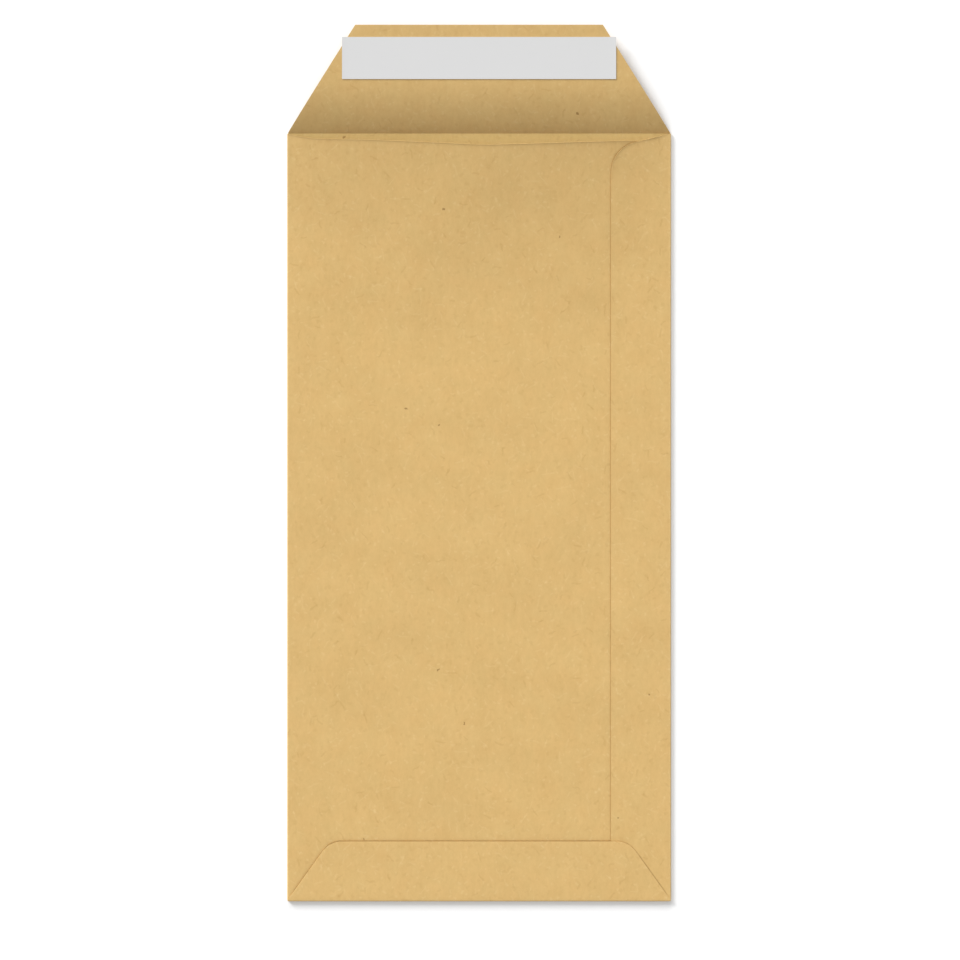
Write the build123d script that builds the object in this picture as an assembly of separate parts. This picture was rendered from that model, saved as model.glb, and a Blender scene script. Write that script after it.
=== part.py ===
from build123d import *
import math
import os

os.makedirs("parts", exist_ok=True)

# A kraft paper pocket envelope, lying on its address side with the closure flap opened.
# +X runs across the envelope towards the side seam, +Y towards the closure flap, +Z up.
# The origin is under the middle of the whole outline. Sizes are in millimetres.

# The pocket
envelope_width = 110.0
envelope_height = 220.0
paper_thickness = 0.12
pocket_clearance = 0.5  # between the front panel and the back panel, away from the mouth
glue_thickness = 0.04

# The mouth, where the back panel arches up from the front panel
mouth_rise = 3.7  # height of the arch, taken at the crease line
mouth_rise_length = 62.0  # from the crease line to where the back panel is flat again
throat_shoulder = 0.3  # drop of the throat edge below the crease at the side folds
# Throat edge: place as a share of the half width, and drop below the crease
throat_points = [(-0.88, 1.3), (-0.62, 1.8), (-0.25, 2.63), (0.03, 3.3), (0.42, 2.72), (0.75, 2.17)]

# The seam tab, folded in from the right over the back panel's margin
tab_width = 17.22
tab_corner_drop = 4.25  # its top corner, before rounding, below the crease
tab_corner_radius = 9.0
jog_width = 1.2  # the back panel dips under the tab over this width
jog_clearance = 0.1  # from the foot of the dip to the tab's free edge
margin_clearance = 1.0  # from the back panel's hidden edge to the right fold

# The bottom flap, folded up over both
bottom_flap_height = 17.17
bottom_flap_inset = 12.35  # its top corners, before rounding, in from each side
bottom_flap_corner_radius = 6.2
bottom_corner_gap = 0.5  # from the side of the envelope to the end of the bottom fold
panel_end_clearance = 0.6  # from the bottom of the envelope to the layers inside the bottom fold

# The closure flap, opened: it lifts at the crease and eases back to level
flap_reach = 31.03
flap_foot_inset = 0.06  # from the side of the envelope to the flap, at the crease
flap_tip_width = 70.9
flap_lift_angle = 19.0
crease_radius = 0.5
flap_ease_reach = 15.35  # from the crease line to where the flap is level

# The peel-off strip and the adhesive under it
strip_length = 78.45
strip_height = 12.05
strip_thickness = 0.07
strip_tip_margin = 3.5  # from the flap's tip to the strip
adhesive_length = 74.0
adhesive_height = 10.0
adhesive_thickness = 0.05

# The dried gum films of the two seams
seam_glue_inset = 1.5  # from the tab's free edge
seam_glue_width = 13.5
seam_glue_top_margin = 12.0  # from the crease line
seam_glue_end_margin = 2.0  # from the bottom of the envelope
bottom_glue_inset = 2.0  # from the bottom flap's edges and from its fold

# Levels of the stacked layers, each the underside of its layer
margin_level = pocket_clearance - glue_thickness
seam_glue_level = margin_level + paper_thickness
back_level = seam_glue_level + glue_thickness
bottom_glue_level = back_level + paper_thickness
bottom_flap_level = bottom_glue_level + glue_thickness

side_fold_radius = (back_level + paper_thickness) / 2
bottom_fold_radius = (bottom_flap_level + paper_thickness) / 2

# Lines across and along the envelope
bottom_y = -(envelope_height + flap_reach) / 2
crease_y = bottom_y + envelope_height
tip_y = crease_y + flap_reach
panel_end_y = bottom_y + panel_end_clearance
bottom_fold_y = bottom_y + bottom_fold_radius
rise_y = crease_y - mouth_rise_length
side_fold_x = envelope_width / 2 - side_fold_radius
tab_edge_x = envelope_width / 2 - tab_width
jog_foot_x = tab_edge_x - jog_clearance
jog_top_x = jog_foot_x - jog_width
margin_end_x = side_fold_x - margin_clearance

flap_lift = math.radians(flap_lift_angle)
ease_radius = flap_ease_reach / math.sin(flap_lift) - crease_radius
flap_level = flap_ease_reach * math.tan(flap_lift / 2)


def box_between(low, high):
    """A box from its lowest corner to its highest corner."""
    size = [high[i] - low[i] for i in range(3)]
    middle = [(high[i] + low[i]) / 2 for i in range(3)]
    return Pos(*middle) * Box(*size)


def prism(outline, low_z, high_z):
    """A closed outline on the ground, extruded from low_z to high_z."""
    return Pos(0, 0, low_z) * extrude(make_face(outline), amount=high_z - low_z)


def strip_along_y(x_levels, thickness, low_y, high_y):
    """A sheet whose underside follows x_levels, pairs of x and height, from low_y to high_y."""
    upper = [(x, level + thickness) for x, level in reversed(x_levels)]
    outline = Polyline(*x_levels, *upper, close=True)
    face = Plane.XZ * make_face(outline)
    return Pos(0, high_y, 0) * extrude(face, amount=high_y - low_y)


def arched_sheet(low_x, high_x, low_level, high_level, thickness):
    """
    The stretch of a layer near the mouth. Its height is a parabola across the envelope, zero at
    both side folds, times a parabola along it, zero at rise_y, so two layers on each other fit.
    """
    low_share = low_x / side_fold_x
    high_share = high_x / side_fold_x
    across = [1 - low_share**2, 1 - low_share * high_share, 1 - high_share**2]
    along = [0, 0, 1]
    levels = [low_level, (low_level + high_level) / 2, high_level]
    places_x = [low_x, (low_x + high_x) / 2, high_x]
    places_y = [rise_y, (rise_y + crease_y) / 2, crease_y]
    points = []
    for x, level, bow in zip(places_x, levels, across):
        points.append([(x, y, level + mouth_rise * bow * rise) for y, rise in zip(places_y, along)])
    return extrude(Face.make_bezier_surface(points), amount=thickness, dir=(0, 0, 1))


def side_fold(side):
    """The half-round fold between the front panel and what is folded over it, at -1 or +1."""
    ring = Circle(side_fold_radius) - Circle(side_fold_radius - paper_thickness)
    half = Rectangle(side_fold_radius, 2 * side_fold_radius, align=(Align.MIN, Align.CENTER))
    section = ring & half
    if side < 0:
        section = section.mirror(Plane.YZ)
    face = Plane.XZ * (Pos(side * side_fold_x, side_fold_radius) * section)
    end_y = crease_y - throat_shoulder
    return Pos(0, end_y, 0) * extrude(face, amount=end_y - panel_end_y)


def front_panel():
    return box_between(
        (-side_fold_x, bottom_fold_y, 0), (side_fold_x, crease_y - throat_shoulder, paper_thickness)
    )


def back_outline():
    """The back panel's outline, up to its curved throat edge."""
    left = (-side_fold_x, crease_y - throat_shoulder)
    right_drop = throat_points[-1][1]
    right = (margin_end_x, crease_y - right_drop)
    throat = [(share * side_fold_x, crease_y - drop) for share, drop in throat_points]
    edge = Spline(left, *throat, right)
    rest = Polyline(right, (margin_end_x, panel_end_y), (-side_fold_x, panel_end_y), left)
    return Curve() + [edge, rest]


def back_panel():
    flat_levels = [
        (-side_fold_x, back_level),
        (jog_top_x, back_level),
        (jog_foot_x, margin_level),
        (margin_end_x, margin_level),
    ]
    sheet = strip_along_y(flat_levels, paper_thickness, panel_end_y, rise_y)
    for (low_x, low_level), (high_x, high_level) in zip(flat_levels, flat_levels[1:]):
        sheet += arched_sheet(low_x, high_x, low_level, high_level, paper_thickness)
    return sheet & prism(back_outline(), 0, 2 * mouth_rise + back_level)


def tab_outline():
    """The seam tab's outline: a sloping top, a rounded corner and a long straight free edge."""
    top = (side_fold_x, crease_y - throat_shoulder)
    corner = (tab_edge_x, crease_y - tab_corner_drop)
    foot = (tab_edge_x, panel_end_y)
    edge = FilletPolyline(top, corner, foot, radius=tab_corner_radius)
    return Curve() + [edge, Polyline(foot, (side_fold_x, panel_end_y), top)]


def seam_tab():
    levels = [(tab_edge_x, back_level), (side_fold_x, back_level)]
    sheet = strip_along_y(levels, paper_thickness, panel_end_y, rise_y)
    sheet += arched_sheet(tab_edge_x, side_fold_x, back_level, back_level, paper_thickness)
    return sheet & prism(tab_outline(), 0, 2 * mouth_rise + back_level)


def bottom_flap_outline(inset, foot_y):
    """The bottom flap's outline, drawn in by inset at its sloping sides and its top edge."""
    slope_x = bottom_flap_inset - bottom_corner_gap
    slant = math.hypot(slope_x, bottom_flap_height) / bottom_flap_height
    top_y = bottom_y + bottom_flap_height - inset

    def side_x(y):
        return (
            envelope_width / 2
            - bottom_corner_gap
            - slope_x * (y - bottom_y) / bottom_flap_height
            - inset * slant
        )

    foot = side_x(foot_y)
    corner = side_x(top_y)
    points = [(-foot, foot_y), (-corner, top_y), (corner, top_y), (foot, foot_y)]
    edge = FilletPolyline(*points, radius=bottom_flap_corner_radius)
    return Curve() + [edge, Line((foot, foot_y), (-foot, foot_y))]


def bottom_fold(half_length):
    ring = Circle(bottom_fold_radius) - Circle(bottom_fold_radius - paper_thickness)
    half = Rectangle(bottom_fold_radius, 2 * bottom_fold_radius, align=(Align.MAX, Align.CENTER))
    face = Plane.YZ * (Pos(bottom_fold_y, bottom_fold_radius) * (ring & half))
    return extrude(face, amount=half_length, both=True)


def bottom_flap():
    outline = bottom_flap_outline(0, bottom_fold_y)
    flap = prism(outline, bottom_flap_level, bottom_flap_level + paper_thickness)
    fold_half_length = flap.bounding_box().max.X
    return flap + bottom_fold(fold_half_length)


def closure_flap():
    """The opened flap, drawn from the side: level, up at the crease, eased back to level."""

    def side_line(height):
        """One face of the paper, at height above the underside."""
        start = (crease_y - throat_shoulder, height)
        level = Line(start, (crease_y, height))
        crease = JernArc(
            level @ 1, (1, 0), crease_radius + paper_thickness / 2 - height, flap_lift_angle
        )
        ease = JernArc(
            crease @ 1, crease % 1, ease_radius - paper_thickness / 2 + height, -flap_lift_angle
        )
        run = Line(ease @ 1, (tip_y, (ease @ 1).Y))
        return [level, crease, ease, run]

    lower = side_line(0)
    upper = side_line(paper_thickness)
    ends = [Line(lower[-1] @ 1, upper[-1] @ 1), Line(upper[0] @ 0, lower[0] @ 0)]
    face = Plane.YZ * make_face(Curve() + [*lower, *upper, *ends])
    sheet = extrude(face, amount=envelope_width, both=True)
    half_width = envelope_width / 2 - flap_foot_inset
    foot_y = crease_y - throat_shoulder
    outline = Polyline(
        (-half_width, foot_y),
        (half_width, foot_y),
        (half_width, crease_y),
        (flap_tip_width / 2, tip_y),
        (-flap_tip_width / 2, tip_y),
        (-half_width, crease_y),
        close=True,
    )
    return sheet & prism(outline, -1, flap_level + 1)


def envelope_sheet():
    sheet = front_panel()
    for piece in (
        side_fold(-1),
        side_fold(1),
        back_panel(),
        seam_tab(),
        bottom_flap(),
        closure_flap(),
    ):
        sheet += piece
    return sheet


def seal_pieces():
    """The adhesive band and the peel-off strip, on the level part of the closure flap."""
    middle_y = tip_y - strip_tip_margin - strip_height / 2
    adhesive_z = flap_level + paper_thickness
    strip_z = adhesive_z + adhesive_thickness
    adhesive = box_between(
        (-adhesive_length / 2, middle_y - adhesive_height / 2, adhesive_z),
        (adhesive_length / 2, middle_y + adhesive_height / 2, strip_z),
    )
    strip = box_between(
        (-strip_length / 2, middle_y - strip_height / 2, strip_z),
        (strip_length / 2, middle_y + strip_height / 2, strip_z + strip_thickness),
    )
    return adhesive, strip


def side_seam_glue():
    low_x = tab_edge_x + seam_glue_inset
    high_x = low_x + seam_glue_width
    low_y = bottom_y + seam_glue_end_margin
    high_y = crease_y - seam_glue_top_margin
    levels = [(low_x, seam_glue_level), (high_x, seam_glue_level)]
    film = strip_along_y(levels, glue_thickness, low_y, rise_y)
    film += arched_sheet(low_x, high_x, seam_glue_level, seam_glue_level, glue_thickness)
    return film & box_between((low_x, low_y, 0), (high_x, high_y, 2 * mouth_rise))


def bottom_seam_glue():
    outline = bottom_flap_outline(bottom_glue_inset, bottom_y + bottom_glue_inset)
    return prism(outline, bottom_glue_level, bottom_glue_level + glue_thickness)


seal_adhesive, release_strip = seal_pieces()
export_step(envelope_sheet(), "parts/envelope_sheet.step")
export_step(seal_adhesive, "parts/seal_adhesive.step")
export_step(release_strip, "parts/release_strip.step")
export_step(side_seam_glue(), "parts/side_seam_glue.step")
export_step(bottom_seam_glue(), "parts/bottom_seam_glue.step")
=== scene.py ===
"""A kraft paper pocket envelope, lying seam side up with its closure flap opened.

Its white peel-off strip is still on the flap. Lengths are in millimetres until a mesh is made.
"""

import math

import bpy
import numpy as np
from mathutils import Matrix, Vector


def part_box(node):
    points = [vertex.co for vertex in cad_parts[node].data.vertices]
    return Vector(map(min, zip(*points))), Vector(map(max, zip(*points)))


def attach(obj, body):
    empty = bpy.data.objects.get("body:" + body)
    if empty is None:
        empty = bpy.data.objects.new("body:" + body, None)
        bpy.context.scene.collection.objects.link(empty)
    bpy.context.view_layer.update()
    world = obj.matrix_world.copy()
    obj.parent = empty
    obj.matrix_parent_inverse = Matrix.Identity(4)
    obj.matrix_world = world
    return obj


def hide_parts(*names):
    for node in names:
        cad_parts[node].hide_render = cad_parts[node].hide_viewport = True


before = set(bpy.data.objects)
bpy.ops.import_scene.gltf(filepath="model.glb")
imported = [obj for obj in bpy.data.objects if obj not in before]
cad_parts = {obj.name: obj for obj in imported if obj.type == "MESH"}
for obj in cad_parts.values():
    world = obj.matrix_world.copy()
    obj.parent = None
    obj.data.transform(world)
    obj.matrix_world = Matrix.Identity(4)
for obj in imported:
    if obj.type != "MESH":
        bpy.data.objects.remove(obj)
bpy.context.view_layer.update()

MM = 0.001

# ---- Sizes, in millimetres. Along the envelope they count from its bottom fold. ----
sheet_low, sheet_high = (np.array(corner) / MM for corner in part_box("envelope_sheet"))
strip_low, strip_high = (np.array(corner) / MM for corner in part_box("release_strip"))
adhesive_low, adhesive_high = (np.array(corner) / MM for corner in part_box("seal_adhesive"))
side_glue_low, side_glue_high = (np.array(corner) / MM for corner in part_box("side_seam_glue"))
bottom_glue_low, bottom_glue_high = (np.array(corner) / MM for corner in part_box("bottom_seam_glue"))

BOTTOM_Y = sheet_low[1]
HALF_WIDTH = sheet_high[0]
TOTAL_LENGTH = sheet_high[1] - sheet_low[1]
CREASE = 220.0
PAPER = 0.12
GLUE = 0.04
BACK_LEVEL = 0.62  # underside of the back panel and of the seam tab
FLAP_LEVEL = BACK_LEVEL + PAPER + GLUE  # underside of the bottom flap
SIDE_FOLD = (BACK_LEVEL + PAPER) / 2
BOTTOM_FOLD = (FLAP_LEVEL + PAPER) / 2
FOLD_X = HALF_WIDTH - SIDE_FOLD

MOUTH_RISE = 3.7
MOUTH_LENGTH = 62.0
THROAT = [
    (-1.0, 0.1),
    (-0.94, 0.86),
    (-0.88, 1.32),
    (-0.78, 1.58),
    (-0.62, 1.8),
    (-0.42, 2.23),
    (-0.2, 2.76),
    (0.02, 3.3),
    (0.21, 3.08),
    (0.42, 2.72),
    (0.72, 2.2),
    (1.0, 2.05),
]
LIP_RISE = 0.07  # the cut edges of the throat and of the tab stand up by this much
LIP_REACH = 0.26
THROAT_LIP = 1.35  # the throat's edge stands up more than the tab's, by this factor

TAB_EDGE = HALF_WIDTH - 17.22
TAB_CORNER_DROP = 4.25
TAB_CORNER_RADIUS = 9.0
TAB_TOP_DROP = 0.02
MARGIN_END = FOLD_X - 1.0
STACK_DIP = PAPER + GLUE  # the back panel lies this much lower under the tab
SEAM_SINK = 0.05  # beside the tab it rises again: slowly by this much,
SEAM_SINK_REACH = 14.0
SEAM_PRESS = 0.06  # faster by this much,
SEAM_PRESS_REACH = 0.4
SEAM_STEP_REACH = 0.12  # and the rest of it at once
SEAM_CREVICE = 0.35

BOTTOM_FLAP_HEIGHT = 17.17
BOTTOM_FLAP_INSET = 12.35
BOTTOM_FLAP_RADIUS = 6.4
BOTTOM_FLAP_FOOT_INSET = 0.1
BOTTOM_FLAP_LEAST = 0.3  # the flap is at least this high, at its corners
BOTTOM_PRESS = 0.1  # its edge presses a dip of this depth into the layer below
BOTTOM_PRESS_REACH = 0.4
SLOPING_SHORTER = 0.42  # across its sloping sides a distance is shorter by this share than along Y

CREVICE_DEPTH = 0.07  # the narrow gap beside the cut edge of the layer on top
CREVICE_WIDTH = 0.13

FLAP_REACH = TOTAL_LENGTH - CREASE
FLAP_FOOT_HALF = HALF_WIDTH - 0.06
FLAP_TIP_HALF = 70.9 / 2
FLAP_ANGLE = math.radians(19.0)
CREASE_RADIUS = 0.5
FLAP_EASE = 15.35


# ---- Curves of the outlines ----
def rounded_corner(start, corner, end, radius):
    """Where a circle of that radius touches the two lines, and its centre."""
    start, corner, end = (np.array(p, float) for p in (start, corner, end))
    into = (start - corner) / np.linalg.norm(start - corner)
    out = (end - corner) / np.linalg.norm(end - corner)
    half = math.acos(np.clip(into @ out, -1, 1)) / 2
    reach = radius / math.tan(half)
    middle = (into + out) / np.linalg.norm(into + out)
    return corner + into * reach, corner + out * reach, corner + middle * radius / math.sin(half)


def smooth_through(points, places):
    """Heights at places on a smooth curve through points, by cubic spans."""
    xs, ys = (np.array(v, float) for v in zip(*points))
    slopes = np.gradient(ys, xs)
    i = np.clip(np.searchsorted(xs, places) - 1, 0, len(xs) - 2)
    span = xs[i + 1] - xs[i]
    t = np.clip((places - xs[i]) / span, 0, 1)
    return (
        ys[i] * (2 * t**3 - 3 * t**2 + 1)
        + ys[i + 1] * (3 * t**2 - 2 * t**3)
        + slopes[i] * span * (t**3 - 2 * t**2 + t)
        + slopes[i + 1] * span * (t**3 - t**2)
    )


def throat_y(x):
    return CREASE - smooth_through(THROAT, np.clip(x / FOLD_X, -1, 1))


tab_top_touch, _, tab_centre = rounded_corner(
    (FOLD_X, CREASE - TAB_TOP_DROP),
    (TAB_EDGE, CREASE - TAB_CORNER_DROP),
    (TAB_EDGE, 0),
    TAB_CORNER_RADIUS,
)


def tab_top_y(x):
    """The seam tab's upper outline."""
    slope = (tab_top_touch[1] - (CREASE - TAB_TOP_DROP)) / (tab_top_touch[0] - FOLD_X)
    line = tab_top_touch[1] + slope * (x - tab_top_touch[0])
    across = np.clip((tab_centre[0] - x) / TAB_CORNER_RADIUS, -1, 1)
    arc = tab_centre[1] + TAB_CORNER_RADIUS * np.sqrt(1 - across**2)
    return np.where(x >= tab_top_touch[0], line, arc)


def tab_edge_x(y):
    """The seam tab's free edge, up to where its upper outline takes over."""
    up = np.clip((y - tab_centre[1]) / TAB_CORNER_RADIUS, 0, 0.985)
    return tab_centre[0] - TAB_CORNER_RADIUS * np.sqrt(1 - up**2)


flap_foot = (HALF_WIDTH - BOTTOM_FLAP_FOOT_INSET, 0.0)
flap_corner = (HALF_WIDTH - BOTTOM_FLAP_INSET, BOTTOM_FLAP_HEIGHT)
flap_side_touch, flap_top_touch, flap_centre = rounded_corner(
    flap_foot, flap_corner, (0, BOTTOM_FLAP_HEIGHT), BOTTOM_FLAP_RADIUS
)


def bottom_flap_y(x):
    """The bottom flap's outline: flat in the middle, rounded, then sloping to the corners."""
    x = np.abs(x)
    slope = (flap_corner[1] - flap_foot[1]) / (flap_corner[0] - flap_foot[0])
    line = flap_foot[1] + slope * (x - flap_foot[0])
    across = np.clip((x - flap_centre[0]) / BOTTOM_FLAP_RADIUS, -1, 1)
    arc = flap_centre[1] + BOTTOM_FLAP_RADIUS * np.sqrt(1 - across**2)
    beyond_top = np.where(x < flap_side_touch[0], arc, line)
    shape = np.where(x < flap_top_touch[0], BOTTOM_FLAP_HEIGHT, beyond_top)
    return np.maximum(shape, BOTTOM_FLAP_LEAST)


# ---- Heights of the layers ----
def soft_step(t):
    t = np.clip(t, 0, 1)
    return t * t * (3 - 2 * t)


def arch(x, y):
    """How far the back panel stands up towards the mouth."""
    along = np.clip((y - (CREASE - MOUTH_LENGTH)) / MOUTH_LENGTH, 0, 1.1)
    return MOUTH_RISE * np.clip(1 - (x / FOLD_X) ** 2, 0, 1) * along**2


def ripple(x, y):
    """Faint waves of paper that has lain in a box: a few hundredths of a millimetre."""
    waves = [(61, 23, 0.4, 0.030), (-37, 71, 2.1, 0.026), (29, 44, 4.4, 0.014), (83, -52, 1.2, 0.022)]
    total = 0
    for wave_x, wave_y, phase, height in waves:
        total = total + height * np.sin(2 * math.pi * (x / wave_x + y / wave_y) + phase)
    margin = 12.0  # the folds hold the paper flat over this distance
    held = soft_step((FOLD_X - np.abs(x)) / margin) * soft_step((y - 1) / margin)
    return total * held


def crevice(distance):
    """The narrow gap right beside an edge."""
    return CREVICE_DEPTH * np.exp(-((distance / CREVICE_WIDTH) ** 2))


def press_line(distance, depth, reach):
    """The dip that the edge of a layer presses into the one below, outside the edge."""
    return depth * np.exp(-np.maximum(distance, 0) / reach) * np.exp(np.minimum(distance, 0) / 2.5)


def lip(inside):
    """The cut edge of a layer stands up a little. inside is measured inward from the edge."""
    return LIP_RISE * np.exp(-np.maximum(inside, 0) / LIP_REACH)


def bottom_dip(x, y):
    """The dip beside the bottom flap's edge: shallower on the tab, deeper towards the corners."""
    sloping = soft_step((np.abs(x) - flap_top_touch[0]) / (flap_side_touch[0] - flap_top_touch[0]))
    distance = (y - bottom_flap_y(x)) * (1 - SLOPING_SHORTER * sloping)
    over_tab = soft_step((x - TAB_EDGE + 0.6) / 1.2) * (1 - soft_step((x - flap_top_touch[0]) / 4))
    near_corner = soft_step((np.abs(x) - 40) / 12)
    strength = (1 - 0.7 * over_tab) * (1 + 0.9 * near_corner) * soft_step((FOLD_X - np.abs(x)) / 0.5)
    return (press_line(distance, BOTTOM_PRESS, BOTTOM_PRESS_REACH) + crevice(distance)) * strength


def back_height(x, y, tab_distance):
    """Middle of the back panel's paper. tab_distance is measured outward from the tab's free edge."""
    outside = np.maximum(tab_distance, 0)
    dip = SEAM_SINK * (1 - soft_step(outside / SEAM_SINK_REACH))
    dip = dip + SEAM_PRESS * np.exp(-outside / SEAM_PRESS_REACH)
    dip = dip + (STACK_DIP - SEAM_SINK - SEAM_PRESS) * np.exp(-outside / SEAM_STEP_REACH)
    dip = np.where(tab_distance <= 0, STACK_DIP, dip) + SEAM_CREVICE * crevice(tab_distance)
    level = BACK_LEVEL + PAPER / 2 + arch(x, y) + ripple(x, y)
    return level - dip - bottom_dip(x, y) + THROAT_LIP * lip(throat_y(x) - y)


def tab_height(x, y):
    """Middle of the seam tab's paper."""
    at_corner = (x < tab_centre[0]) & (y > tab_centre[1])
    from_arc = TAB_CORNER_RADIUS - np.hypot(x - tab_centre[0], y - tab_centre[1])
    stands = lip(np.where(at_corner, from_arc, tab_top_y(x) - y)) * soft_step((FOLD_X - x) / 4)
    stands = stands * soft_step((y - tab_centre[1]) / 3) * (1 + soft_step((x - tab_centre[0]) / 3))
    return BACK_LEVEL + PAPER / 2 + arch(x, y) + ripple(x, y) - bottom_dip(x, y) + stands


def bottom_flap_height(x, y):
    """Middle of the bottom flap's paper, which bends down a little at its edge."""
    inside = bottom_flap_y(x) - y
    return FLAP_LEVEL + PAPER / 2 + ripple(x, y) - 0.012 * np.exp(-inside / 0.4)


# ---- Grids ----
def graded(start, stop, first, growth, largest):
    """Places from start to stop, in steps that grow from first to largest."""
    steps = []
    step = first
    length = abs(stop - start)
    while sum(steps) < length:
        steps.append(step)
        step = min(step * growth, largest)
    steps = np.array(steps) * length / sum(steps)
    return start + np.sign(stop - start) * np.concatenate([[0], np.cumsum(steps)])


def half_turn(count):
    return np.linspace(0, math.pi, count + 1)


FOLD_PRESS = 0.4  # 1 would leave a half circle


def pressed(part):
    """A sine or cosine of a fold's turn, with the fold pressed from a half circle towards flat."""
    return math.copysign(abs(part) ** FOLD_PRESS, part)


# The middles of the folds, on the flat blank.
SIDE_FOLD_PLACE = FOLD_X + math.pi * (SIDE_FOLD - PAPER / 2) / 2
BOTTOM_FOLD_PLACE = BOTTOM_FOLD - math.pi * (BOTTOM_FOLD - PAPER / 2) / 2


class Sheet:
    """Grids of points on the middle of a sheet of paper, sharing their borders.

    Each point also has its place in the flat blank.
    """

    def __init__(self):
        self.points = []
        self.flat = []
        self.quads = []
        self.count = 0

    def grid(self, points, flat, first_row=None):
        """Adds a grid. first_row gives the numbers of points that are already there."""
        rows, columns = points.shape[:2]
        new = points if first_row is None else points[1:]
        new_flat = flat if first_row is None else flat[1:]
        numbers = self.count + np.arange(new.shape[0] * columns).reshape(new.shape[0], columns)
        self.points.append(new.reshape(-1, 3))
        self.flat.append(new_flat.reshape(-1, 2))
        self.count += numbers.size
        if first_row is not None:
            numbers = np.vstack([first_row, numbers])
        a, b = numbers[:-1, :-1], numbers[:-1, 1:]
        c, d = numbers[1:, 1:], numbers[1:, :-1]
        self.quads.append(np.stack([a, b, c, d], axis=-1).reshape(-1, 4))
        return numbers

    def arrays(self):
        return np.vstack(self.points), np.vstack(self.flat), np.vstack(self.quads)


def point_normals(points, quads):
    """Area-weighted normals of the points."""
    a, b, c, d = (points[quads[:, i]] for i in range(4))
    face = np.cross(c - a, d - b)
    normals = np.zeros_like(points)
    for i in range(4):
        np.add.at(normals, quads[:, i], face)
    return normals / np.linalg.norm(normals, axis=1, keepdims=True)


def border_edges(quads):
    """Edges of one quad only, in the direction of that quad."""
    edges = np.vstack([quads[:, [i, (i + 1) % 4]] for i in range(4)])
    low, high = edges.min(axis=1), edges.max(axis=1)
    key = low.astype(np.int64) * (quads.max() + 1) + high
    _, first, counts = np.unique(key, return_index=True, return_counts=True)
    return edges[first[counts == 1]]


INNER_SHIFT = (613.0, 287.0)  # so that the two faces of the paper don't show the same fibres


def solid_sheet(name, points, quads, thickness, flat):
    """A closed mesh about the middle points: an outer skin, an inner skin and the cut edges."""
    normals = point_normals(points, quads)
    n = len(points)
    outer = points + normals * thickness / 2
    inner = points - normals * thickness / 2
    edges = border_edges(quads)
    rims = np.stack([edges[:, 1], edges[:, 0], edges[:, 0] + n, edges[:, 1] + n], axis=1)
    faces = np.vstack([quads, quads[:, ::-1] + n, rims])
    vertices = np.vstack([outer, inner])
    vertices[:, 1] += BOTTOM_Y
    mesh = bpy.data.meshes.new(name)
    mesh.from_pydata((vertices * MM).tolist(), [], faces.tolist())
    mesh.validate()
    kinds = np.repeat([0, 1, 2], [len(quads), len(quads), len(rims)])
    mesh.polygons.foreach_set("use_smooth", kinds < 2)
    mesh.polygons.foreach_set("material_index", kinds)
    rim_flat = np.stack([flat[edges[:, i]] for i in (1, 0, 0, 1)], axis=1)
    rim_flat[:, 2:] += thickness
    corners = np.vstack([
        flat[quads].reshape(-1, 2),
        flat[quads[:, ::-1]].reshape(-1, 2) + INNER_SHIFT,
        rim_flat.reshape(-1, 2),
    ])
    places = np.column_stack([corners, np.zeros(len(corners))]).astype(np.float32)
    blank = mesh.attributes.new("blank", "FLOAT_VECTOR", "CORNER")
    blank.data.foreach_set("vector", places.ravel())
    sharp = set(map(tuple, np.sort(edges, axis=1).tolist()))
    sharp |= {(a + n, b + n) for a, b in sharp}
    pairs = np.zeros(2 * len(mesh.edges), dtype=np.int32)
    mesh.edges.foreach_get("vertices", pairs)
    pairs = np.sort(pairs.reshape(-1, 2), axis=1)
    mesh.edges.foreach_set("use_edge_sharp", [tuple(p) in sharp for p in pairs.tolist()])
    mesh.update()
    piece = bpy.data.objects.new(name, mesh)
    bpy.context.collection.objects.link(piece)
    return piece


# ---- The folded sheet ----
def strip_rows():
    """Places along the envelope, close together where the bottom flap's edge presses in."""
    below = BOTTOM_FLAP_HEIGHT - graded(0, BOTTOM_FLAP_HEIGHT, 0.06, 1.5, 3.0)[::-1]
    middle = (BOTTOM_FLAP_HEIGHT + CREASE) / 2
    above = graded(BOTTOM_FLAP_HEIGHT, middle, 0.05, 1.35, 1.75)
    upper = graded(CREASE, middle, 0.13, 1.3, 1.75)[::-1]
    return np.concatenate([below, above[1:], upper[1:]])


ROW_BEND = 45.0  # rows are straight again this far from the outlines that they follow,
COLUMN_BEND = 14.0  # and columns this far from the tab's edge


def row_y(x, row, top):
    """A row bends to follow the bottom flap's outline, and to end at the top outline."""
    lift = BOTTOM_FLAP_HEIGHT - bottom_flap_y(x)
    share_above = np.clip(1 - (row - BOTTOM_FLAP_HEIGHT) / ROW_BEND, 0, 1) ** 2
    share = np.where(row < BOTTOM_FLAP_HEIGHT, row / BOTTOM_FLAP_HEIGHT, share_above)
    y = row - lift * share
    start = CREASE - ROW_BEND
    return np.where(y > start, start + (y - start) * (top - start) / (CREASE - start), y)


PANEL_START = 0.42  # the layers inside the bottom fold stop this far from the bottom of the envelope
FRONT_STEP = 1.5
FRONT_MIDDLE = 30.0  # up to this far from the middle the front's columns are a little wider apart


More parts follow.
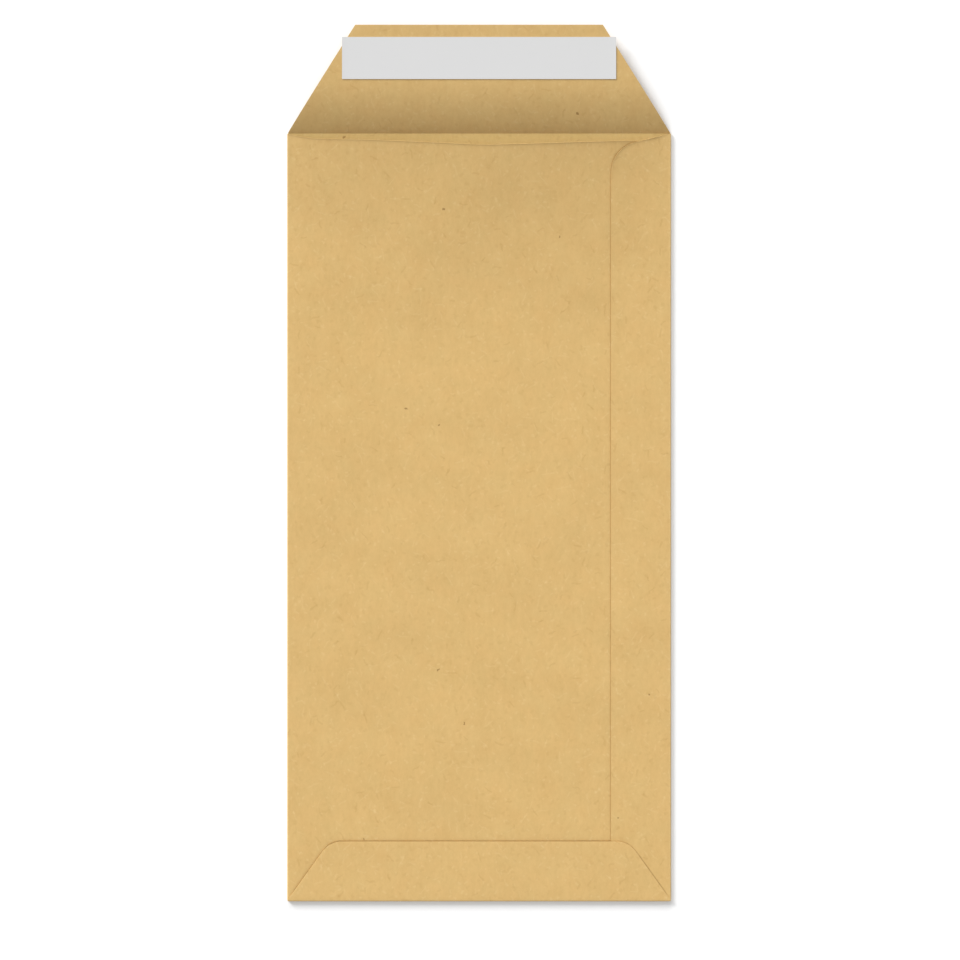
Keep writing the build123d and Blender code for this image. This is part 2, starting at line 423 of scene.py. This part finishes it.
def envelope_mesh():
    """The whole folded sheet: points on the middle of the paper, their places in the blank, and quads."""
    sheet = Sheet()
    rows = strip_rows()

    back_columns = np.concatenate([
        graded(TAB_EDGE, MARGIN_END, 0.06, 1.6, 3.0)[::-1],
        graded(TAB_EDGE, -FOLD_X, 0.045, 1.4, 1.6)[1:],
    ])
    front_columns = np.concatenate([
        -graded(FRONT_MIDDLE, FOLD_X, FRONT_STEP, 1.0, FRONT_STEP)[::-1][:-1],
        np.linspace(-FRONT_MIDDLE, FRONT_MIDDLE, 34),
        graded(FRONT_MIDDLE, FOLD_X, FRONT_STEP, 1.0, FRONT_STEP)[1:],
    ])
    tab_columns = graded(TAB_EDGE, FOLD_X, 0.03, 1.6, 1.6)[::-1]
    turns = half_turn(12)
    middle_radius = SIDE_FOLD - PAPER / 2
    fold_length = math.pi * middle_radius

    # Back panel, from its hidden margin to the left fold.
    x = back_columns[None, :]
    y = row_y(x, rows[:, None], throat_y(x))
    under_tab = (MARGIN_END - x) / (MARGIN_END - TAB_EDGE)
    beside_tab = np.clip(1 - (TAB_EDGE - x) / COLUMN_BEND, 0, 1) ** 2
    follow = np.where(x > TAB_EDGE, under_tab, beside_tab)
    moved_x = x + (tab_edge_x(y) - TAB_EDGE) * follow
    y = row_y(moved_x, rows[:, None], throat_y(moved_x))
    y = np.maximum(y, PANEL_START)
    z = back_height(moved_x, y, TAB_EDGE - x)
    back = np.stack(np.broadcast_arrays(moved_x, y, z), axis=-1)
    back_flat = np.stack(np.broadcast_arrays(-2 * FOLD_X - fold_length - moved_x, y), axis=-1)

    # Front panel.
    x = front_columns[None, :]
    y = np.broadcast_to(row_y(x, rows[:, None], CREASE), (len(rows), len(front_columns))).copy()
    y = BOTTOM_FOLD + y * (CREASE - BOTTOM_FOLD) / CREASE
    front = np.stack(np.broadcast_arrays(x, y, PAPER / 2), axis=-1)
    front_flat = front[:, :, :2].copy()

    def fold(edge_above, edge_below, side):
        """A side fold, from the edge of the layer above to the edge of the front panel."""
        parts = []
        flats = []
        for turn in turns[1:-1]:
            share = turn / math.pi
            y_here = edge_above[:, 1] * (1 - share) + edge_below[:, 1] * share
            x_here = side * (FOLD_X + middle_radius * pressed(math.sin(turn)))
            z_top = edge_above[:, 2]
            z_here = (z_top + PAPER / 2) / 2 + (z_top - PAPER / 2) / 2 * pressed(math.cos(turn))
            parts.append(np.stack(np.broadcast_arrays(x_here, y_here, z_here), axis=-1))
            flat_x = side * (FOLD_X + fold_length * (1 - share))
            flats.append(np.stack(np.broadcast_arrays(flat_x, y_here), axis=-1))
        return parts, flats

    left_parts, left_flats = fold(back[:, -1], front[:, 0], -1)

    # Seam tab.
    x = tab_columns[None, :]
    y = np.maximum(row_y(x, rows[:, None], tab_top_y(x)), PANEL_START)
    tab = np.stack(np.broadcast_arrays(x, y, tab_height(x, y)), axis=-1)
    tab_flat = np.stack(np.broadcast_arrays(2 * FOLD_X + fold_length - x, y), axis=-1)
    right_parts, right_flats = fold(tab[:, 0], front[:, -1], 1)

    columns = [back[:, i] for i in range(back.shape[1])]
    columns += left_parts
    columns += [front[:, i] for i in range(front.shape[1])]
    columns += right_parts[::-1]
    columns += [tab[:, i] for i in range(tab.shape[1])]
    flats = [back_flat[:, i] for i in range(back.shape[1])]
    flats += left_flats
    flats += [front_flat[:, i] for i in range(front.shape[1])]
    flats += right_flats[::-1]
    flats += [tab_flat[:, i] for i in range(tab.shape[1])]
    strip_points = np.stack(columns, axis=1)
    strip_flat = np.stack(flats, axis=1)
    numbers = sheet.grid(strip_points, strip_flat)
    first = back.shape[1] + len(left_parts)
    front_numbers = numbers[:, first : first + len(front_columns)]

    # Closure flap, on the front panel's top row.
    bend = CREASE_RADIUS * FLAP_ANGLE
    ease_radius = FLAP_EASE / math.sin(FLAP_ANGLE) - CREASE_RADIUS
    level_start = bend + ease_radius * FLAP_ANGLE
    paper_length = level_start + FLAP_REACH - FLAP_EASE
    lengths = np.concatenate([
        np.linspace(0, bend, 5),
        graded(bend, level_start, 0.4, 1.25, 1.4)[1:],
        graded(level_start, paper_length, 1.3, 1.0, 1.3)[1:],
    ])
    fine = np.linspace(0, paper_length, 4001)
    eased = np.clip(FLAP_ANGLE - (fine - bend) / ease_radius, 0, None)
    fine_angle = np.where(fine < bend, fine / CREASE_RADIUS, eased)
    step = fine[1] - fine[0]
    step_angle = (fine_angle[1:] + fine_angle[:-1]) / 2
    fine_y = np.concatenate([[0], np.cumsum(np.cos(step_angle) * step)])
    fine_z = np.concatenate([[0], np.cumsum(np.sin(step_angle) * step)])
    flap_y = np.interp(lengths, fine, fine_y)
    flap_z = np.interp(lengths, fine, fine_z)
    sloping_side = FLAP_FOOT_HALF - (FLAP_FOOT_HALF - FLAP_TIP_HALF) * flap_y / FLAP_REACH
    half = np.minimum(FOLD_X + flap_y, sloping_side)
    share = front_columns / FOLD_X
    flap_x = half[:, None] * share[None, :]
    flap_places = np.broadcast_arrays(flap_x, CREASE + flap_y[:, None], PAPER / 2 + flap_z[:, None])
    flap = np.stack(flap_places, axis=-1)
    flap_flat = np.stack(np.broadcast_arrays(flap_x, CREASE + lengths[:, None]), axis=-1)
    sheet.grid(flap, flap_flat, front_numbers[-1])

    # Bottom fold and bottom flap, on the front panel's first row.
    radius = BOTTOM_FOLD - PAPER / 2
    outline = bottom_flap_y(front_columns)
    parts = [front[0]]
    flats = [front_flat[0]]
    for turn in turns[1:]:
        wider = 1 + (flap_foot[0] - FOLD_X) / FOLD_X * math.sin(turn / 2)
        y_here = np.minimum(BOTTOM_FOLD, front[0][:, 1]) - radius * pressed(math.sin(turn))
        z_here = BOTTOM_FOLD - radius * pressed(math.cos(turn))
        x_here = front_columns * wider
        parts.append(np.stack(np.broadcast_arrays(x_here, y_here, z_here), axis=-1))
        flats.append(np.stack(np.broadcast_arrays(x_here, BOTTOM_FOLD - radius * turn), axis=-1))
    least_height = 0.05  # so that the flap's rows don't meet at its corners
    steps = graded(1, 0, 0.012, 1.5, 0.12)[::-1]
    for share in steps[1:]:
        y_here = BOTTOM_FOLD + (np.maximum(outline, BOTTOM_FOLD + least_height) - BOTTOM_FOLD) * share
        z_here = bottom_flap_height(x_here, y_here)
        flat_y = BOTTOM_FOLD - math.pi * radius - (y_here - BOTTOM_FOLD)
        parts.append(np.stack(np.broadcast_arrays(x_here, y_here, z_here), axis=-1))
        flats.append(np.stack(np.broadcast_arrays(x_here, flat_y), axis=-1))
    flap_points = np.stack(parts)[:, ::-1]
    flap_flat = np.stack(flats)[:, ::-1]
    sheet.grid(flap_points, flap_flat, front_numbers[0][::-1])
    points, flat, quads = sheet.arrays()
    return points, flat, quads[:, ::-1]


def film_mesh(low, high, step, height, narrowing):
    """A film between two corners, its middle at height(x, y), its width times narrowing(y)."""
    sheet = Sheet()
    xs = np.linspace(low[0], high[0], max(2, int((high[0] - low[0]) / step) + 1))
    ys = np.linspace(low[1], high[1], max(2, int((high[1] - low[1]) / step) + 1))
    x, y = np.meshgrid(xs, ys)
    x = x * narrowing(y)
    sheet.grid(np.stack([x, y, height(x, y)], axis=-1), np.stack([x, y], axis=-1))
    return sheet.arrays()


# ---- Materials ----
class Nodes:
    """A short way to build a node tree."""

    def __init__(self, material):
        material.use_nodes = True
        self.tree = material.node_tree
        self.tree.nodes.clear()

    def add(self, kind, inputs=None, **settings):
        node = self.tree.nodes.new(kind)
        for key, value in settings.items():
            setattr(node, key, value)
        for key, value in (inputs or {}).items():
            if isinstance(value, bpy.types.NodeSocket):
                self.tree.links.new(value, node.inputs[key])
            else:
                node.inputs[key].default_value = value
        return node

    def math(self, operation, a, b=None, c=None, clamp=False):
        inputs = {i: v for i, v in enumerate((a, b, c)) if v is not None}
        return self.add("ShaderNodeMath", inputs, operation=operation, use_clamp=clamp).outputs[0]

    def vector(self, operation, a, b=None):
        inputs = {i: v for i, v in enumerate((a, b)) if v is not None}
        return self.add("ShaderNodeVectorMath", inputs, operation=operation).outputs[0]

    def noise(self, where, scale, detail=2.0, rough=0.5):
        inputs = {"Vector": where, "Scale": scale, "Detail": detail, "Roughness": rough}
        return self.add("ShaderNodeTexNoise", inputs, noise_dimensions="2D").outputs["Fac"]

    def scale(self, value, factor):
        inputs = {0: value, "Scale": factor}
        return self.add("ShaderNodeVectorMath", inputs, operation="SCALE").outputs[0]

    def ramp(self, value, start, end, at_start, at_end, **settings):
        """at_start up to start, at_end beyond end, and in between a straight or a smooth change."""
        inputs = {"Value": value, 1: start, 2: end, 3: at_start, 4: at_end}
        return self.add("ShaderNodeMapRange", inputs, **settings).outputs[0]

    def smooth_ramp(self, value, start, end, at_start, at_end):
        return self.ramp(value, start, end, at_start, at_end, interpolation_type="SMOOTHSTEP")

    def blend(self, factor, first, second):
        node = self.add("ShaderNodeMix", {0: factor, 6: first, 7: second}, data_type="RGBA")
        return node.outputs[2]

    def fibres(self, where, spacing, length, width, share):
        """A fibre in that share of the cells, each turned its own way: 1 on the fibre, 0 off it."""
        cells = self.add(
            "ShaderNodeTexVoronoi",
            {"Vector": where, "Scale": 1 / spacing, "Randomness": 1.0},
            voronoi_dimensions="2D",
            feature="F1",
        )
        offset = self.vector("SUBTRACT", where, cells.outputs["Position"])
        chance = self.add("ShaderNodeSeparateColor", {0: cells.outputs["Color"]})
        turn = self.math("MULTIPLY", chance.outputs[0], math.tau)
        about = {"Vector": offset, "Angle": turn}
        turned = self.add("ShaderNodeVectorRotate", about, rotation_type="Z_AXIS")
        parts = self.add("ShaderNodeSeparateXYZ", {0: turned.outputs[0]})
        along = self.math("ABSOLUTE", parts.outputs[0])
        across = self.math("ABSOLUTE", parts.outputs[1])
        reach = self.math("MULTIPLY_ADD", chance.outputs[1], length * 0.35, length * 0.3)
        in_length = self.smooth_ramp(self.math("DIVIDE", along, reach), 0.6, 1.0, 1.0, 0.0)
        in_width = self.smooth_ramp(across, width * 0.2, width * 0.6, 1.0, 0.0)
        chosen = self.math("LESS_THAN", chance.outputs[2], share)
        return self.math("MULTIPLY", self.math("MULTIPLY", in_length, in_width), chosen)


def centred(nodes, value, amount):
    """value about 0.5 turned into a change about 0."""
    return nodes.math("MULTIPLY_ADD", value, amount, -amount / 2)


def add_all(nodes, values):
    total = values[0]
    for value in values[1:]:
        total = nodes.math("ADD", total, value)
    return total


def shaded(colour, factors):
    return tuple(c * f for c, f in zip(colour, factors)) + (1,)


WORN_NEAR = 0.2  # all the paper is paler this near to a fold, from wear and from painted light on the folds' shaded sides, and none beyond the second distance
WORN_FAR = 0.62
CORNER_SHADE_TONE = 0.865  # painted shade at the mouth's left corner, against 1 beyond the reach
CORNER_REACH = 48.0


def worn_and_lit_fold(nodes, blank):
    """1 along the side folds and the bottom fold, where the fibres have broken and where painted light
    lifts the folds' shaded sides, 0 elsewhere.
    """
    place = nodes.add("ShaderNodeSeparateXYZ", {0: blank})
    from_side = nodes.math("SUBTRACT", nodes.math("ABSOLUTE", place.outputs[0]), SIDE_FOLD_PLACE)
    from_bottom = nodes.math("SUBTRACT", place.outputs[1], BOTTOM_FOLD_PLACE)
    from_side = nodes.math("ABSOLUTE", from_side)
    from_bottom = nodes.math("ABSOLUTE", from_bottom)
    nearest = nodes.math("MINIMUM", from_side, from_bottom)
    ragged = nodes.math("ADD", nearest, centred(nodes, nodes.noise(blank, 1.6, 2.0, 0.6), 0.5))
    return nodes.smooth_ramp(ragged, WORN_NEAR, WORN_FAR, 1.0, 0.0)


def painted_corner_shade(nodes, blank):
    """Painted shade: below 1 around the mouth's left corner, where the outside is painted a shade darker,
    1 elsewhere.
    """
    from_corner = nodes.vector("SUBTRACT", blank, (-SIDE_FOLD_PLACE, CREASE, 0.0))
    distance = nodes.add("ShaderNodeVectorMath", {0: from_corner}, operation="LENGTH").outputs["Value"]
    return nodes.smooth_ramp(distance, 0.0, CORNER_REACH, CORNER_SHADE_TONE, 1.0)


# Fibres: the spacing of their cells, their length and width, and the share of the cells that hold one.
PALE_SHORT = (2.4, 1.0, 0.62, 0.42)
PALE_LONG = (4.2, 3.4, 0.42, 0.5)
DARK_SHORT = (2.4, 1.5, 0.85, 0.4)
DARK_LONG = (6.5, 2.8, 0.55, 0.45)
SHIVE = (19.0, 0.85, 0.6, 0.14)

# Colours as factors of the paper's own, in red, green and blue.
REDDER = (1.016, 0.988, 0.975)
GREENER = (0.984, 1.012, 1.025)
PALE_FIBRE = (1.12, 1.22, 1.45)
DARK_FIBRE = (0.80, 0.73, 0.62)
SHIVE_BROWN = (0.4, 0.33, 0.26)
# paler paper along the folds: worn fibres, and painted light on the folds' shaded sides
WORN_AND_LIT_PAPER = (1.25, 1.5, 2.2)
CLOUD_HUE = (0.93, 1.17, 1.72)  # how strongly the clouds change each colour


def kraft(name, colour, roughness=0.82, pocket=None):
    """Brown kraft paper: clouds of fibre, short light and dark fibres, and a few shives.

    pocket is the colour on the inner face below the crease, painted lighter there to offset the shade
    inside the mouth.
    """
    material = bpy.data.materials.new(name)
    nodes = Nodes(material)
    blank = nodes.add("ShaderNodeAttribute", attribute_name="blank").outputs["Vector"]
    bend_inputs = {"Vector": blank, "Scale": 0.7, "Detail": 1.0}
    bend = nodes.add("ShaderNodeTexNoise", bend_inputs, noise_dimensions="2D")
    bent = nodes.vector("ADD", blank, nodes.vector("MULTIPLY", bend.outputs["Color"], (0.9, 0.9, 0.0)))
    grain = nodes.vector("MULTIPLY", blank, (1.0, 0.62, 1.0))

    clouds = nodes.noise(blank, 0.05, 2.0, 0.5)
    patches = nodes.noise(grain, 0.22, 2.0, 0.5)
    mottle = nodes.noise(nodes.vector("ADD", grain, (17.0, 5.0, 0.0)), 0.75, 2.0, 0.55)
    fleck = nodes.noise(grain, 2.1, 2.0, 0.6)
    pale_short = nodes.fibres(bent, *PALE_SHORT)
    pale_long = nodes.fibres(nodes.vector("ADD", bent, (31.0, 7.0, 0.0)), *PALE_LONG)
    dark_short = nodes.fibres(nodes.vector("ADD", bent, (57.0, 19.0, 0.0)), *DARK_SHORT)
    dark_long = nodes.fibres(nodes.vector("ADD", bent, (11.0, 83.0, 0.0)), *DARK_LONG)
    shives = nodes.fibres(nodes.vector("ADD", bent, (71.0, 43.0, 0.0)), *SHIVE)

    hue = nodes.noise(nodes.vector("ADD", blank, (201.0, 90.0, 0.0)), 0.16, 2.0, 0.5)
    tint = nodes.blend(hue, shaded(colour, REDDER), shaded(colour, GREENER))
    # Below the crease the inner face takes the pocket colour: painted light that offsets the shade inside
    # the mouth.
    if pocket:
        place = nodes.add("ShaderNodeSeparateXYZ", {0: blank}).outputs[1]
        crease = CREASE + INNER_SHIFT[1]
        inside = nodes.ramp(place, crease - 0.1, crease + 0.3, 1.0, 0.0)
        tint = nodes.blend(inside, tint, (*pocket, 1))
    cloudy = add_all(nodes, [
        centred(nodes, clouds, 0.062),
        centred(nodes, patches, 0.088),
        centred(nodes, mottle, 0.105),
        centred(nodes, fleck, 0.066),
    ])
    shift = nodes.scale(CLOUD_HUE, cloudy)
    pulp = nodes.vector("MULTIPLY", tint, nodes.vector("ADD", shift, (1.0, 1.0, 1.0)))
    pale = add_all(nodes, [
        nodes.math("MULTIPLY", pale_short, 0.34),
        nodes.math("MULTIPLY", pale_long, 0.28),
    ])
    with_pale = nodes.blend(pale, pulp, shaded(colour, PALE_FIBRE))
    dark = add_all(nodes, [
        nodes.math("MULTIPLY", dark_short, 0.19),
        nodes.math("MULTIPLY", dark_long, 0.32),
    ])
    with_dark = nodes.blend(dark, with_pale, shaded(colour, DARK_FIBRE))
    shive_share = nodes.math("MULTIPLY", shives, 0.7)
    with_shives = nodes.blend(shive_share, with_dark, shaded(colour, SHIVE_BROWN))
    # Paler along the folds: wear, and painted light that lifts the shaded sides of the folds.
    wear_and_light = nodes.math("MULTIPLY", worn_and_lit_fold(nodes, blank), 0.34)
    with_wear_and_light = nodes.blend(wear_and_light, with_shives, shaded(colour, WORN_AND_LIT_PAPER))
    # The colour is darkened around the mouth's left corner: painted shade.
    colour_out = nodes.scale(with_wear_and_light, painted_corner_shade(nodes, blank))

    relief = add_all(nodes, [
        nodes.math("MULTIPLY", pale_short, 0.5),
        nodes.math("MULTIPLY", pale_long, 0.6),
        nodes.math("MULTIPLY", dark_short, -0.4),
        centred(nodes, fleck, 1.4),
        centred(nodes, nodes.noise(grain, 4.5, 2.0, 0.6), 0.9),
    ])
    bump = nodes.add("ShaderNodeBump", {"Height": relief, "Strength": 0.35, "Distance": 0.00001})
    shader = nodes.add(
        "ShaderNodeBsdfPrincipled",
        {
            "Base Color": colour_out,
            "Roughness": roughness,
            "Specular IOR Level": 0.25,
            "Normal": bump.outputs[0],
        },
    )
    nodes.add("ShaderNodeOutputMaterial", {"Surface": shader.outputs[0]})
    return material


def smooth_film(name, colour, roughness, specular, mottle):
    """Coated liner paper, gum or adhesive: one colour with faint clouds."""
    material = bpy.data.materials.new(name)
    nodes = Nodes(material)
    blank = nodes.add("ShaderNodeAttribute", attribute_name="blank").outputs["Vector"]
    clouds = nodes.noise(blank, 0.25, 3.0, 0.6)
    grain = nodes.noise(blank, 2.2, 2.0, 0.5)
    change = nodes.math("ADD", centred(nodes, clouds, mottle), centred(nodes, grain, mottle * 0.7))
    shade = nodes.math("ADD", change, 1.0)
    colour_out = nodes.scale(colour, shade)
    bump = nodes.add("ShaderNodeBump", {"Height": grain, "Strength": 0.12, "Distance": 0.00001})
    shader = nodes.add(
        "ShaderNodeBsdfPrincipled",
        {
            "Base Color": colour_out,
            "Roughness": roughness,
            "Specular IOR Level": specular,
            "Normal": bump.outputs[0],
        },
    )
    nodes.add("ShaderNodeOutputMaterial", {"Surface": shader.outputs[0]})
    return material


KRAFT_COLOUR = (0.6225, 0.412, 0.1605)
INNER_TONE = 0.91
EDGE_TONE = 1.08
POCKET_LIT_TONE = (0.95, 1.0, 0.965)  # painted light: below the crease the inner face is painted a little lighter than on the flap, to offset the shade inside the mouth

inner_colour = tuple(c * INNER_TONE for c in KRAFT_COLOUR)
edge_colour = tuple(c * EDGE_TONE for c in KRAFT_COLOUR)
pocket_lit_colour = tuple(c * t for c, t in zip(KRAFT_COLOUR, POCKET_LIT_TONE))
outer_kraft = kraft("kraft_outside", KRAFT_COLOUR)
inner_kraft = kraft("kraft_inside", inner_colour, pocket=pocket_lit_colour)
edge_kraft = kraft("kraft_cut_edge", edge_colour, roughness=0.9)
liner = smooth_film("liner_paper", (0.625, 0.625, 0.624), 0.6, 0.22, 0.012)
adhesive_finish = smooth_film("sealing_adhesive", (0.72, 0.66, 0.5), 0.25, 0.5, 0.05)
gum_finish = smooth_film("dried_gum", (0.6, 0.46, 0.24), 0.35, 0.5, 0.08)

# ---- The pieces ----
points, flat, quads = envelope_mesh()
envelope = solid_sheet("envelope", points, quads, PAPER, flat)
for material in (outer_kraft, inner_kraft, edge_kraft):
    envelope.data.materials.append(material)


def full_width(y):
    return np.ones_like(y)


def add_film(name, low, high, step, height, thickness, material, node, narrowing=full_width):
    """A thin flat piece between two corners, which stands for that CAD node."""
    low = (low[0], low[1] - BOTTOM_Y)
    high = (high[0], high[1] - BOTTOM_Y)
    film_points, film_flat, film_quads = film_mesh(low, high, step, height, narrowing)
    film = solid_sheet(name, film_points, film_quads, thickness, film_flat)
    for _ in range(3):
        film.data.materials.append(material)
    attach(film, "root")
    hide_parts(node)


adhesive_thickness = adhesive_high[2] - adhesive_low[2]
strip_thickness = strip_high[2] - strip_low[2]
STRIP_CURL = 0.006


def adhesive_height(x, y):
    return np.full_like(x, (adhesive_low[2] + adhesive_high[2]) / 2)


def strip_height_at(x, y):
    """The strip lies on the adhesive, and its ends, past the adhesive, stand up a little."""
    past = np.maximum(np.abs(x) - adhesive_high[0], 0)
    return (strip_low[2] + strip_high[2]) / 2 + STRIP_CURL * past**2


def side_gum_height(x, y):
    return BACK_LEVEL - GLUE / 2 + arch(x, y) + ripple(x, y) - bottom_dip(x, y)


add_film("sealing_adhesive", adhesive_low, adhesive_high, 2.0, adhesive_height,
         adhesive_thickness, adhesive_finish, "seal_adhesive")
add_film("peel_off_strip", strip_low, strip_high, 0.75, strip_height_at,
         strip_thickness, liner, "release_strip")
add_film("side_seam_gum", side_glue_low, side_glue_high, 2.0, side_gum_height,
         GLUE, gum_finish, "side_seam_glue")


BOTTOM_GUM_FOOT = 2.0
BOTTOM_GUM_RADIUS = 4.0
BOTTOM_GUM_SINK = 0.03  # it stays this much clear of the flap above it
BOTTOM_GUM_SLOPE = (BOTTOM_FLAP_INSET - 0.5) / BOTTOM_FLAP_HEIGHT


def bottom_gum_share(y):
    """Its width at y as a share of that at its foot: it keeps inside the flap's sloping sides."""
    top = bottom_glue_high[1] - BOTTOM_Y
    side = bottom_glue_high[0] - (y - BOTTOM_GUM_FOOT) * BOTTOM_GUM_SLOPE
    corner = np.maximum(y - (top - BOTTOM_GUM_RADIUS), 0)
    rounded = np.sqrt(np.maximum(BOTTOM_GUM_RADIUS**2 - corner**2, 0))
    return (side - BOTTOM_GUM_RADIUS + rounded) / bottom_glue_high[0]


def bottom_gum_height(x, y):
    return FLAP_LEVEL - GLUE / 2 + ripple(x, y) - BOTTOM_GUM_SINK


add_film("bottom_seam_gum", bottom_glue_low, bottom_glue_high, 1.5, bottom_gum_height,
         GLUE, gum_finish, "bottom_seam_glue", bottom_gum_share)

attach(envelope, "root")
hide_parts("envelope_sheet")

# ---- Floor, light and camera ----
LEVEL_LIGHT = 1.15  # what falls on a level surface, all lights together
# Each softbox: its share of that, then its height, its width and its direction as angles. The
# direction counts from -X round towards +Y.
SOFTBOXES = {
    "softbox_main": (0.36, 18, 24, 44),
    "softbox_low": (0.13, 13, 22, 86),
    "softbox_over": (0.06, 90, 60, 0),
}

FLOOR_REACH = 3.0  # metres
floor_mesh = bpy.data.meshes.new("floor")
floor_corners = [(x * FLOOR_REACH, y * FLOOR_REACH, 0) for x, y in ((-1, -1), (1, -1), (1, 1), (-1, 1))]
floor_mesh.from_pydata(floor_corners, [], [(0, 1, 2, 3)])
floor = bpy.data.objects.new("floor", floor_mesh)
bpy.context.collection.objects.link(floor)
floor_material = bpy.data.materials.new("floor_white")
floor_nodes = Nodes(floor_material)
floor_shader = floor_nodes.add("ShaderNodeBsdfDiffuse", {"Color": (0.96, 0.96, 0.96, 1)})
floor_nodes.add("ShaderNodeOutputMaterial", {"Surface": floor_shader.outputs[0]})
floor.data.materials.append(floor_material)

world = bpy.data.worlds.new("studio")
bpy.context.scene.world = world
world.use_nodes = True
world.node_tree.nodes["Background"].inputs["Color"].default_value = (1, 1, 1, 1)
dome_share = 1 - sum(settings[0] for settings in SOFTBOXES.values())
world.node_tree.nodes["Background"].inputs["Strength"].default_value = LEVEL_LIGHT * dome_share

for name, (share, elevation, width, direction) in SOFTBOXES.items():
    elevation = math.radians(elevation)
    direction = math.radians(direction)
    light = bpy.data.lights.new(name, "SUN")
    light.angle = math.radians(width)
    light.energy = LEVEL_LIGHT * share * math.pi / math.sin(elevation)
    softbox = bpy.data.objects.new(name, light)
    level = math.cos(elevation)
    toward_light = Vector((-math.cos(direction) * level, math.sin(direction) * level, math.sin(elevation)))
    softbox.rotation_mode = "QUATERNION"
    softbox.rotation_quaternion = toward_light.to_track_quat("Z", "Y")
    bpy.context.collection.objects.link(softbox)

FRAME_WIDTH = 275.268817  # the width of the picture at the level of the floor
VIEW_CENTRE = (0.27, 120.73)  # what the camera stands over, along Y from the bottom fold
camera_data = bpy.data.cameras.new("camera")
camera_data.sensor_width = 36
camera_data.lens = 190
camera_data.dof.use_dof = False
camera = bpy.data.objects.new("camera", camera_data)
camera.location = (
    VIEW_CENTRE[0] * MM,
    (BOTTOM_Y + VIEW_CENTRE[1]) * MM,
    FRAME_WIDTH * MM * camera_data.lens / camera_data.sensor_width,
)
bpy.context.collection.objects.link(camera)
bpy.context.scene.camera = camera
bpy.context.scene.view_settings.view_transform = "Standard"
